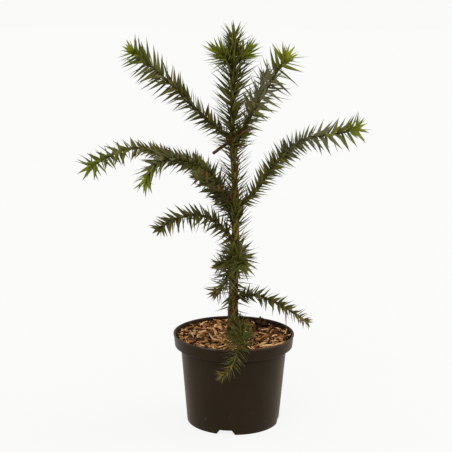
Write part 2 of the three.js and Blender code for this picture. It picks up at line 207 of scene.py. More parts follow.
def mixed(share, low, high):
    """A colour from low to high by a share."""
    return share.node("ShaderNodeMix", {0: share, 6: low, 7: high}, output=2, data_type="RGBA")


def bumped(height, strength, distance):
    return height.node("ShaderNodeBump", {"Height": height, "Strength": strength, "Distance": distance})


def rounded(profile):
    """A closed profile of radius, height and corner size, with each corner rounded off."""
    points = []
    for i, (radius, height, size) in enumerate(profile):
        corner = np.array([radius, height], float)
        if size == 0:
            points.append(corner)
            continue
        before = np.array(profile[i - 1][:2]) - corner
        after = np.array(profile[(i + 1) % len(profile)][:2]) - corner
        reach = min(size, CORNER_LIMIT * np.linalg.norm(before), CORNER_LIMIT * np.linalg.norm(after))
        start = corner + before / np.linalg.norm(before) * reach
        end = corner + after / np.linalg.norm(after) * reach
        for t in CORNER_STEPS:
            points.append((1 - t) ** 2 * start + 2 * t * (1 - t) * corner + t * t * end)
    return points


def turned_mesh(name, profile, segments):
    """A profile from the axis round to the axis, turned about Z."""
    shape = bmesh.new()
    rings = []
    for radius, height in profile:
        if radius < 1e-6:
            rings.append([shape.verts.new((0, 0, height * MM))] * segments)
            continue
        ring = []
        for k in range(segments):
            angle = 2 * math.pi * k / segments
            x = radius * math.cos(angle) * MM
            y = radius * math.sin(angle) * MM
            ring.append(shape.verts.new((x, y, height * MM)))
        rings.append(ring)
    for low, high in zip(rings, rings[1:]):
        for k in range(segments):
            after = (k + 1) % segments
            corners = [low[k], low[after], high[after], high[k]]
            shape.faces.new(list(dict.fromkeys(corners)))
    mesh = bpy.data.meshes.new(name)
    shape.to_mesh(mesh)
    shape.free()
    return mesh


def add_piece(name, mesh, slot, *nodes):
    """A piece of the plant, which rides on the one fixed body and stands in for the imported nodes."""
    piece = bpy.data.objects.new(name, mesh)
    scene.collection.objects.link(piece)
    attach(piece, "root")
    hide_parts(*nodes)


def plain_mesh(piece):
    """The mesh that a piece's modifiers make of it."""
    graph = bpy.context.evaluated_depsgraph_get()
    return bpy.data.meshes.new_from_object(piece.evaluated_get(graph), depsgraph=graph)


cutter_mesh = bpy.data.meshes.new("drain_cutters")
cutters = bmesh.new()
for i in range(NOTCH_COUNT):
    turn = Matrix.Rotation(math.radians(NOTCH_HEADING + 360 / NOTCH_COUNT * i), 3, "Z")
    near, far = [
        [cutters.verts.new(turn @ Vector((reach, across, height)) * MM) for across, height in NOTCH_OUTLINE]
        for reach in NOTCH_REACH
    ]
    cutters.faces.new(near[::-1])
    cutters.faces.new(far)
    for k in range(4):
        cutters.faces.new([near[k], near[(k + 1) % 4], far[(k + 1) % 4], far[k]])
    middle = Matrix.Translation(turn @ Vector((DRAIN["ring"], 0, DRAIN["height"])) * MM)
    size = {"radius1": DRAIN["radius"] * MM, "radius2": DRAIN["radius"] * MM, "depth": DRAIN["depth"] * MM}
    bmesh.ops.create_cone(cutters, cap_ends=True, segments=DRAIN["segments"], matrix=middle, **size)
bmesh.ops.recalc_face_normals(cutters, faces=cutters.faces)
cutters.to_mesh(cutter_mesh)
cutters.free()
cutter = bpy.data.objects.new("drain_cutters", cutter_mesh)
scene.collection.objects.link(cutter)

blank = bpy.data.objects.new("pot_blank", turned_mesh("pot_blank", rounded(POT_PROFILE), POT_SEGMENTS))
scene.collection.objects.link(blank)
cut = blank.modifiers.new("drains", "BOOLEAN")
cut.object = cutter
cut.solver = "EXACT"
pot_mesh = plain_mesh(blank)
bpy.data.objects.remove(blank)
bpy.data.objects.remove(cutter)
pot_mesh.shade_smooth()
pot_mesh.set_sharp_from_angle(angle=math.radians(POT_CREASE))

pot_finish, pot_paint, place = new_finish("black_plastic")
height = place.node("ShaderNodeSeparateXYZ", {0: place}, output="Z")
cloud = mottle(place, 26, 4, (1, 1, 0.5))
grain = mottle(place, 900, 2)
near_foot = 1 - between(height, *SCUFF_HEIGHTS)
scuff = between(mottle(place, 150, 3, (1, 1, 0.45)), 0.66, 0.74) * near_foot
worn = between(cloud, 0.35, 0.75)
streak = mottle(place, 60, 3, (1, 1, 0.06))
# Painted shade: the wall just under the collar is darkened where the collar casts its shadow.
under_collar = between(height, *COLLAR_SHADE_HEIGHTS) * (1 - between(height, *COLLAR_STEP))
plastic = mixed(0.6 * worn + 0.4 * streak, POT_DULL, POT_WORN)
collar_shaded = mixed(under_collar * 0.6, plastic, POT_COLLAR_SHADE)
# Painted highlight: a lighter line along the top of the lip, broken up by the cloud.
lip = between(height, *LIP_HEIGHTS) * between(cloud, 0.3, 0.6)
lip_highlit = mixed(lip * 0.5, collar_shaded, POT_LIP_HIGHLIGHT)
mixed(scuff * 0.45, lip_highlit, POT_SCUFF).into(pot_paint["Base Color"])
(0.44 + 0.14 * worn + 0.2 * scuff).into(pot_paint["Roughness"])
bumped(grain, 0.12, 0.0003).into(pot_paint["Normal"])
pot_paint["Specular IOR Level"].default_value = 0.08
pot_paint["Sheen Weight"].default_value = 0.17
pot_paint["Sheen Roughness"].default_value = 0.35
pot_paint["Sheen Tint"].default_value = (1, 0.76, 0.54, 1)
pot_paint["Specular Tint"].default_value = (1, 0.8, 0.58, 1)
pot_mesh.materials.clear()
pot_mesh.materials.append(pot_finish)
add_piece("pot_moulding", pot_mesh, "pot_plastic", "pot")

# Potting mix: dark peat and composted bark that fills the pot to just under its collar. It only
# shows through the drains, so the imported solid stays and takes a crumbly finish.
COMPOST_DARK = (0.012, 0.007, 0.004, 1)
COMPOST_PALE = (0.05, 0.03, 0.017, 1)
mix_finish, mix_paint, place = new_finish("damp_compost")
crumb = mottle(place, 240, 5)
mixed(between(crumb, 0.35, 0.7), COMPOST_DARK, COMPOST_PALE).into(mix_paint["Base Color"])
bumped(crumb, 0.7, 0.002).into(mix_paint["Normal"])
mix_paint["Roughness"].default_value = 0.92
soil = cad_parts["potting_mix"]
soil.data.materials.clear()
soil.data.materials.append(mix_finish)

# Bark mulch: shredded pine bark raked loosely over the mix, splinters lying every way on a bed of
# dark fines, kept near black as painted shade in the gaps. The chips are dealt out in four tints, from
# pale sapwood to dark outer bark, and some thicker pieces of the darkest lie heaped by the rim.
BED_RADIUS = 107.6
BED_FOOT = 148.8
BED_TOP = 155.5
BED_SEGMENTS = 72
CHIP_SEAT = 2.5
CHIP_WARP = 5
CHIP_POINT = 0.72
CHIP_POINT_CURVE = 2.4
CHIP_BED = {
    "middle": (0, 0), "radius": 100.5, "length": 23, "width": 3.6, "thickness": 2, "tilt": 0.55,
    "crowding": 60000.0,
}
CHIP_TINTS = {
    "pale": {
        "seed": 3, "gap": 9.5, "lift": 8, "low": (0.4, 0.2, 0.075, 1), "high": (0.7, 0.45, 0.22, 1),
    },
    "tan": {
        "seed": 8, "gap": 8, "lift": 7, "low": (0.2, 0.085, 0.026, 1), "high": (0.46, 0.23, 0.085, 1),
    },
    "brown": {
        "seed": 14, "gap": 7.6, "lift": 5.5, "low": (0.07, 0.027, 0.008, 1), "high": (0.22, 0.095, 0.03, 1),
    },
    "dark": {
        "seed": 21, "gap": 8, "lift": 6.5, "low": (0.009, 0.004, 0.0018, 1), "high": (0.04, 0.016, 0.006, 1),
    },
}
CHIP_FLECK = (0.04, 0.018, 0.008, 1)
CHIP_DAMP = (0.05, 0.018, 0.0045, 1)
BARK_HEAP = {
    "middle": (54, 58), "radius": 9, "length": 26, "width": 7, "thickness": 5, "tilt": 1.4,
    "crowding": 400000.0, "seed": 33, "gap": 3, "lift": 15,
}
# The fines' colours: partly their own dark colour, partly painted shade in the gaps between the chips.
FINES_SHADED_DARK = (0.01, 0.004, 0.0012, 1)
FINES_SHADED_PALE = (0.055, 0.021, 0.006, 1)


def new_tree(name, inputs):
    """A geometry tree with named inputs: the tree, its input wires and the socket for its result."""
    tree = bpy.data.node_groups.new(name, "GeometryNodeTree")
    tree.is_modifier = True
    tree.interface.new_socket("Geometry", in_out="OUTPUT", socket_type="NodeSocketGeometry")
    for label, kind in inputs.items():
        tree.interface.new_socket(label, in_out="INPUT", socket_type=kind)
    start = tree.nodes.new("NodeGroupInput")
    end = tree.nodes.new("NodeGroupOutput")
    return tree, {label: Wire(tree, start.outputs[label]) for label in inputs}, end.inputs["Geometry"]


def tree_mesh(tree, values, points=None):
    """The plain mesh that a geometry tree makes from its inputs, by socket identifier."""
    carrier = bpy.data.objects.new(tree.name, points or bpy.data.meshes.new(tree.name))
    scene.collection.objects.link(carrier)
    modifier = carrier.modifiers.new(tree.name, "NODES")
    modifier.node_group = tree
    for item in tree.interface.items_tree:
        if item.in_out == "INPUT" and item.name in values:
            modifier[item.identifier] = values[item.name]
    carrier.update_tag()
    mesh = plain_mesh(carrier)
    bpy.data.objects.remove(carrier)
    return mesh


chip_tree, chip, chip_result = new_tree("Bark chips", {
    "Middle": "NodeSocketVector",
    "Bed Radius": "NodeSocketFloat",
    "Pot Radius": "NodeSocketFloat",
    "Bed Top": "NodeSocketFloat",
    "Gap": "NodeSocketFloat",
    "Crowding": "NodeSocketFloat",
    "Lift": "NodeSocketFloat",
    "Chip Length": "NodeSocketFloat",
    "Chip Width": "NodeSocketFloat",
    "Chip Thickness": "NodeSocketFloat",
    "Tilt": "NodeSocketFloat",
    "Warp": "NodeSocketFloat",
    "Seed": "NodeSocketInt",
    "Finish": "NodeSocketMaterial",
})
bed = chip["Seed"].node(
    "GeometryNodeMeshCircle", {"Vertices": 64, "Radius": chip["Bed Radius"]}, fill_type="NGON",
)
spots = bed.node(
    "GeometryNodeDistributePointsOnFaces",
    {"Mesh": bed, "Distance Min": chip["Gap"], "Density Max": chip["Crowding"], "Seed": chip["Seed"]},
    distribute_method="POISSON",
)


def chance(wire, step, low, high):
    """A random number for each chip; step tells one use of the seed from another."""
    limits = {2: low, 3: high, 8: wire["Seed"] + step}
    return wire["Seed"].node("FunctionNodeRandomValue", limits, output=1, data_type="FLOAT")


raised = chip["Bed Top"] + chance(chip, 1, 0.0, 1.0) * chip["Lift"]
rise = bed.node("ShaderNodeCombineXYZ", {"Z": raised})
shift = bed.node("ShaderNodeVectorMath", {0: chip["Middle"], 1: rise}, operation="ADD")
spots = bed.node("GeometryNodeSetPosition", {"Geometry": spots, "Offset": shift})
block = bed.node("GeometryNodeMeshCube", {"Vertices X": 6, "Vertices Y": 3, "Vertices Z": 2})
corner = bed.node("GeometryNodeInputPosition")
run = bed.node("ShaderNodeSeparateXYZ", {0: corner}, output="X")
from_middle = 2 * run.node("ShaderNodeMath", {0: run}, operation="ABSOLUTE")
taper = 1 - CHIP_POINT * from_middle**CHIP_POINT_CURVE
waist = bed.node("ShaderNodeCombineXYZ", {"X": 1.0, "Y": taper, "Z": taper})
pointed = bed.node("ShaderNodeVectorMath", {0: corner, 1: waist}, operation="MULTIPLY")
splinter = bed.node("GeometryNodeSetPosition", {"Geometry": block, "Position": pointed})
size = bed.node("ShaderNodeCombineXYZ", {
    "X": chip["Chip Length"] * chance(chip, 2, 0.4, 1.35),
    "Y": chip["Chip Width"] * chance(chip, 3, 0.45, 1.5),
    "Z": chip["Chip Thickness"] * chance(chip, 4, 0.5, 1.3),
})
lie = bed.node("ShaderNodeCombineXYZ", {
    "X": chance(chip, 5, -1.2, 1.2),
    "Y": chance(chip, 6, -1.0, 1.0) * chip["Tilt"],
    "Z": chance(chip, 7, 0.0, 2 * math.pi),
})
scatter = {"Points": spots, "Instance": splinter, "Rotation": lie, "Scale": size}
chips = bed.node("GeometryNodeRealizeInstances", {0: bed.node("GeometryNodeInstanceOnPoints", scatter)})
swirl = bed.node("ShaderNodeTexNoise", {"Vector": corner, "Scale": 75.0, "Detail": 2.0}, output="Color")
centred = bed.node("ShaderNodeVectorMath", {0: swirl, 1: (0.5, 0.5, 0.5)}, operation="SUBTRACT")
bend = bed.node("ShaderNodeVectorMath", {0: centred, "Scale": chip["Warp"]}, operation="SCALE")
chips = bed.node("GeometryNodeSetPosition", {"Geometry": chips, "Offset": bend})
flat = bed.node("ShaderNodeVectorMath", {0: corner, 1: (1, 1, 0)}, operation="MULTIPLY")
reach = bed.node("ShaderNodeVectorMath", {0: flat}, output="Value", operation="LENGTH")
inward = bed.node("ShaderNodeMath", {0: chip["Pot Radius"] / reach, 1: 1.0}, operation="MINIMUM")
pull = bed.node("ShaderNodeCombineXYZ", {"X": inward, "Y": inward, "Z": 1.0})
kept = bed.node("ShaderNodeVectorMath", {0: corner, 1: pull}, operation="MULTIPLY")
chips = bed.node("GeometryNodeSetPosition", {"Geometry": chips, "Position": kept})
bed.node("GeometryNodeSetMaterial", {"Geometry": chips, "Material": chip["Finish"]}).into(chip_result)


def bark_chips(name, bed_plan, plan, finish):
    """A piece of splinters scattered over a round bed."""
    chip_mesh = tree_mesh(chip_tree, {
        "Middle": (*[v * MM for v in bed_plan["middle"]], 0),
        "Bed Radius": bed_plan["radius"] * MM,
        "Pot Radius": BED_RADIUS * MM,
        "Bed Top": (BED_TOP + CHIP_SEAT) * MM,
        "Gap": plan["gap"] * MM,
        "Crowding": bed_plan["crowding"],
        "Lift": plan["lift"] * MM,
        "Chip Length": bed_plan["length"] * MM,
        "Chip Width": bed_plan["width"] * MM,
        "Chip Thickness": bed_plan["thickness"] * MM,
        "Tilt": bed_plan["tilt"],
        "Warp": CHIP_WARP * MM,
        "Seed": plan["seed"],
        "Finish": finish,
    })
    add_piece(name, chip_mesh, "bark_chips", "bark_mulch")


def dulled(paint, roughness):
    """Takes nearly all the shine off a dry surface."""
    paint["Roughness"].default_value = roughness
    paint["Specular IOR Level"].default_value = 0.1


chip_finishes = {}
for tint, plan in CHIP_TINTS.items():
    chip_finishes[tint], chip_paint, place = new_finish(f"bark_{tint}")
    fibre = mottle(place, 95, 3)
    speck = mottle(place, 600, 2)
    damp = between(mottle(place, 17, 2), 0.5, 0.66)
    wood = mixed(between(fibre, 0.32, 0.68), plan["low"], plan["high"])
    flecked = mixed(between(speck, 0.6, 0.75) * 0.5, wood, CHIP_FLECK)
    mixed(damp * 0.18, flecked, CHIP_DAMP).into(chip_paint["Base Color"])
    bumped(speck, 0.5, 0.0006).into(chip_paint["Normal"])
    dulled(chip_paint, 0.85)
    bark_chips(f"mulch_{tint}", CHIP_BED, plan, chip_finishes[tint])
bark_chips("mulch_heap", BARK_HEAP, BARK_HEAP, chip_finishes["dark"])

# The fines are kept near black: partly their own colour, partly painted shade in the gaps between chips.
fines_finish, fines_paint, place = new_finish("bark_fines")
crumb = mottle(place, 220, 5)
mixed(between(crumb, 0.35, 0.7), FINES_SHADED_DARK, FINES_SHADED_PALE).into(fines_paint["Base Color"])
bumped(crumb, 0.8, 0.002).into(fines_paint["Normal"])
dulled(fines_paint, 0.92)
fines_profile = [(0, BED_FOOT, 0), (BED_RADIUS, BED_FOOT, 1), (BED_RADIUS, BED_TOP, 2), (0, BED_TOP, 0)]
fines_mesh = turned_mesh("mulch_fines", rounded(fines_profile), BED_SEGMENTS)
fines_mesh.materials.append(fines_finish)
add_piece("mulch_fines", fines_mesh, "bark_chips", "bark_mulch")

# Trunk: one straight young stem, brown and scaly at the foot and olive above, still covered by the
# diamond cushions of the leaves that it bore. Its grooves are darkened, partly as painted shade, and
# the leafy leader is darkened with painted shade. It flares where it enters the mulch, and a dead stub
# stands out under the top whorl.
TRUNK_FOOT = (-1.6, 0, 148.8)
TRUNK_LENGTH = 552
TRUNK_PITCHES = [90, 90, 88, 89, 92.5, 94, 90.5, 89, 89]
TRUNK_RADIUS = (10.5, 2.6)
TRUNK_TAPER = 0.9
TRUNK_SIDES = 44
TRUNK_STEP = 1.1
ROOT_FLARE = 3.6
ROOT_FLARE_SHARE = 0.05
GOLDEN_ANGLE = math.radians(137.508)
LINE_STEPS = 48
TRUNK_FIRST_LEAF = 0.004
TRUNK_LEAF_SPACING = 0.8
TRUNK_CUSHION = {"rise": 0.7, "length": 5.6, "width": 3}
CUSHION_LEAD = 0.4
CUSHION_CURVE = 1.5
CUSHION_SINK = 0.6
LIMB_CAP = 0.4
YOUNG_BARK_HEIGHTS = (0.23, 0.36)
LEADER_SHADE_HEIGHTS = (0.5, 0.56)
OLD_BARK = [(0.088, 0.043, 0.0095, 1), (0.175, 0.1, 0.029, 1)]
YOUNG_BARK = [(0.16, 0.144, 0.0145, 1), (0.2, 0.112, 0.023, 1)]
# The young leader's green, darkened as painted shade among its leaves.
LEADER_BARK_SHADED = (0.04, 0.042, 0.007, 1)
# Partly the colour of the cracks, partly painted shade in the grooves between the leaf cushions.
BARK_CRACK_AND_SHADE = (0.034, 0.02, 0.0075, 1)
BARK_FLECK = (0.2, 0.15, 0.085, 1)
STUB = {"heading": 192, "sway": 0, "length": 43, "pitches": [-30, -38]}
STUB_HEIGHT = 532
STUB_RADIUS = 3
STUB_SIDES = 20
STUB_STEP = 0.8
STUB_FIRST_SCAR = 0.1
STUB_SCAR_SPACING = 1.4
STUB_SCAR = {"rise": 0.4, "length": 3, "width": 1.6}
DEAD_WOOD = [(0.024, 0.013, 0.005, 1), (0.062, 0.036, 0.014, 1)]
chances = np.random.default_rng(20)


class GrowthLine:
    """The source's rule of growth: a line that turns through its pitches as it goes."""

    def __init__(self, start, heading, sway, length, pitches):
        self.heading = heading
        self.sway = sway
        self.length = length
        self.pitches = pitches
        self.stations = np.linspace(0, 1, LINE_STEPS + 1)
        strides = self.directions((self.stations[1:] + self.stations[:-1]) / 2)[0] * length / LINE_STEPS
        self.points = np.vstack([start, start + np.cumsum(strides, axis=0)])

    def directions(self, share):
        pitch = np.radians(np.interp(share, np.linspace(0, 1, len(self.pitches)), self.pitches))
        turn = np.radians(self.heading + self.sway * share**2)
        tangent = np.stack([np.cos(pitch) * np.cos(turn), np.cos(pitch) * np.sin(turn), np.sin(pitch)], -1)
        side = np.stack([-np.sin(turn), np.cos(turn), 0 * turn], -1)
        return tangent, side, np.cross(tangent, side)

    def at(self, share):
        point = np.stack([np.interp(share, self.stations, self.points[:, i]) for i in range(3)], -1)
        return point, *self.directions(share)


def limb_mesh(line, radius_at, sides, step, cushions, size):
    """A tapering limb with a leaf cushion at each share and turn in cushions: points, faces, swell."""
    count = max(4, round(line.length / step))
    shares = np.linspace(0, 1, count)
    angles = np.arange(sides) * 2 * np.pi / sides
    radius = radius_at(shares)
    swell = np.zeros((count, sides))
    for share, turn in zip(*cushions):
        below = (shares - share) * line.length / size["length"] + CUSHION_LEAD
        rows = np.flatnonzero(np.abs(below) < 1)
        if rows.size:
            off = (angles - turn + np.pi) % (2 * np.pi) - np.pi
            across = off * radius[rows][:, None] / size["width"]
            fall = np.abs(below[rows])[:, None] ** CUSHION_CURVE
            bump = np.clip(1 - fall - np.abs(across) ** CUSHION_CURVE, 0, 1)
            swell[rows] = np.maximum(swell[rows], np.sqrt(bump))
    point, tangent, side, up = line.at(shares)
    out = np.cos(angles)[None, :, None] * side[:, None] + np.sin(angles)[None, :, None] * up[:, None]
    skin = point[:, None] + out * (radius[:, None] + size["rise"] * (swell - CUSHION_SINK))[..., None]
    cap = point[-1:] + LIMB_CAP * radius[-1] * tangent[-1:]
    points = np.vstack([skin.reshape(-1, 3), point[:1], cap])
    first, last = count * sides, count * sides + 1
    faces = []
    for k in range(sides):
        after = (k + 1) % sides
        faces.append((first, after, k))
        faces.append(((count - 1) * sides + k, (count - 1) * sides + after, last))
        for i in range(count - 1):
            faces.append((i * sides + k, i * sides + after, (i + 1) * sides + after, (i + 1) * sides + k))
    return points, faces, np.append(swell.ravel(), [0, 0])


def joined_limbs(name, limbs, finish):
    """One mesh of several limbs, in metres, with the swell of the cushions kept as an attribute."""
    points, faces, swells = [], [], []
    for limb_points, limb_faces, swell in limbs:
        start = sum(len(p) for p in points)
        points.append(limb_points)
        faces += [tuple(start + i for i in face) for face in limb_faces]
        swells.append(swell)
    mesh = bpy.data.meshes.new(name)
    mesh.from_pydata((np.vstack(points) * MM).tolist(), [], faces)
    mesh.attributes.new("swell", "FLOAT", "POINT").data.foreach_set("value", np.concatenate(swells))
    mesh.shade_smooth()
    mesh.materials.append(finish)
    return mesh


def trunk_radius(share):
    flare = ROOT_FLARE * np.exp(-share / ROOT_FLARE_SHARE)
    return TRUNK_RADIUS[0] + (TRUNK_RADIUS[1] - TRUNK_RADIUS[0]) * share**TRUNK_TAPER + flare


def trunk_share(height):
    return (height - TRUNK_FOOT[2]) / TRUNK_LENGTH


trunk_line = GrowthLine(np.array(TRUNK_FOOT), 0, 0, TRUNK_LENGTH, TRUNK_PITCHES)
trunk_roots = np.arange(TRUNK_FIRST_LEAF, 1, TRUNK_LEAF_SPACING / TRUNK_LENGTH)
trunk_turns = np.arange(len(trunk_roots)) * GOLDEN_ANGLE
trunk_cushions = (trunk_roots[::2], trunk_turns[::2])
trunk_skin = limb_mesh(trunk_line, trunk_radius, TRUNK_SIDES, TRUNK_STEP, trunk_cushions, TRUNK_CUSHION)

bark_finish, bark_paint, place = new_finish("trunk_bark")
height = place.node("ShaderNodeSeparateXYZ", {0: place}, output="Z")
patch = mottle(place, 55, 4, (1, 1, 0.5))
fleck = mottle(place, 420, 3)
swell = place.node("ShaderNodeAttribute", output="Fac", attribute_name="swell")
old = mixed(between(patch, 0.35, 0.65), *OLD_BARK)
young = mixed(between(patch, 0.42, 0.62), *YOUNG_BARK)
tone = mixed(between(height + (patch - 0.5) * 0.12, *YOUNG_BARK_HEIGHTS), old, young)
# Painted shade: the green of the young leader is darkened for the shade among its leaves.
leader = mixed(between(height, *LEADER_SHADE_HEIGHTS), tone, LEADER_BARK_SHADED)
# Darker between the leaf cushions: partly dark bark in the cracks, partly painted shade in the grooves.
ridged_and_shaded = mixed(between(swell + (fleck - 0.5) * 2.4, -0.2, 0.75), BARK_CRACK_AND_SHADE, leader)
mixed(between(fleck, 0.62, 0.72) * 0.35, ridged_and_shaded, BARK_FLECK).into(bark_paint["Base Color"])
bumped(fleck, 0.45, 0.0005).into(bark_paint["Normal"])
dulled(bark_paint, 0.78)
add_piece("trunk_wood", joined_limbs("trunk_wood", [trunk_skin], bark_finish), "trunk_bark", "trunk")


def stub_radius(share):
    return STUB_RADIUS + 0 * share


stub_line = GrowthLine(trunk_line.at(trunk_share(STUB_HEIGHT))[0], **STUB)
stub_roots = np.arange(STUB_FIRST_SCAR, 1, STUB_SCAR_SPACING / STUB["length"])
stub_scars = (stub_roots, np.arange(len(stub_roots)) * GOLDEN_ANGLE)
stub_skin = limb_mesh(stub_line, stub_radius, STUB_SIDES, STUB_STEP, stub_scars, STUB_SCAR)
dead_finish, dead_paint, place = new_finish("dead_wood")
streak = mottle(place, 140, 4)
mixed(between(streak, 0.35, 0.65), *DEAD_WOOD).into(dead_paint["Base Color"])
bumped(streak, 0.5, 0.0008).into(dead_paint["Normal"])
dulled(dead_paint, 0.85)
add_piece("stub_wood", joined_limbs("stub_wood", [stub_skin], dead_finish), "trunk_bark", "cut_stub")

# Boughs: unbranched shoots that stand out of the trunk in loose whorls, olive barked and ridged by the
# feet of their leaves. Each carries leaves all the way to its tip, by a habit of its own.
BOUGHS = {
    "top_left": (530, 188, 2, 242, [38, 46, 36]),
    "top_right": (512, -8, 0, 194, [66, 60, 59]),
    "top_back": (505, 61, 0, 182, [52, 47, 44]),
    "mid_left": (403, 166, -4, 336, [40, 59, 11, 15, -25, -32]),
    "mid_front": (377, 217, 11, 286, [65, 64, 25, 5, -68]),
    "mid_right": (406, 10, -6, 281, [33, 57, 45, 4, 18]),
    "mid_back_left": (381, 128, -8, 150, [38, 32, 8]),
    "mid_back": (371, 100, 4, 112, [34, 24, 4]),
    "low_left": (337, 194, 0, 174, [62, 39, -10, -38]),
    "low_front": (314, 284, 0, 58, [24, 0, -36]),
    "low_front_left": (313, 258, -66, 90, [4, -36, -56, -44, -36]),
    "low_back": (302, 88, 6, 128, [18, 0, -24]),
    "short_left": (303, 196, 0, 32, [8, -4, -16]),
    "low_right": (228, -8, 0, 158, [49, -15, -29, -36]),
    "foot_front": (188, 287, -86, 188, [2, -4, 5, -64, -22]),
    "crown_left": (667, 200, 0, 34, [34, 37, 40]),
    "crown_right": (671, -20, 0, 35, [25, 37, 49]),
    "crown_back": (676, 96, 0, 28, [36, 44, 52]),
}
LONGEST_BOUGH = 336
LIMB_ROOT_RADIUS = (2.6, 4.6)
LIMB_TIP_RADIUS = 2
LIMB_TAPER = 0.8
LIMB_SIDES = 14
LIMB_STEP = 1.3
CROWN_ROOT_RADIUS = 3
LIMB_CUSHION = {"rise": 0.4, "length": 3.8, "width": 1.5}
BARE_ROOT = 14
BARE_ROOT_SHARE = 0.12
LAST_LEAF_SHARE = 0.995
SPIRAL_STEPS = 400
SHOOT_GREEN = [(0.062, 0.062, 0.01, 1), (0.09, 0.072, 0.016, 1)]
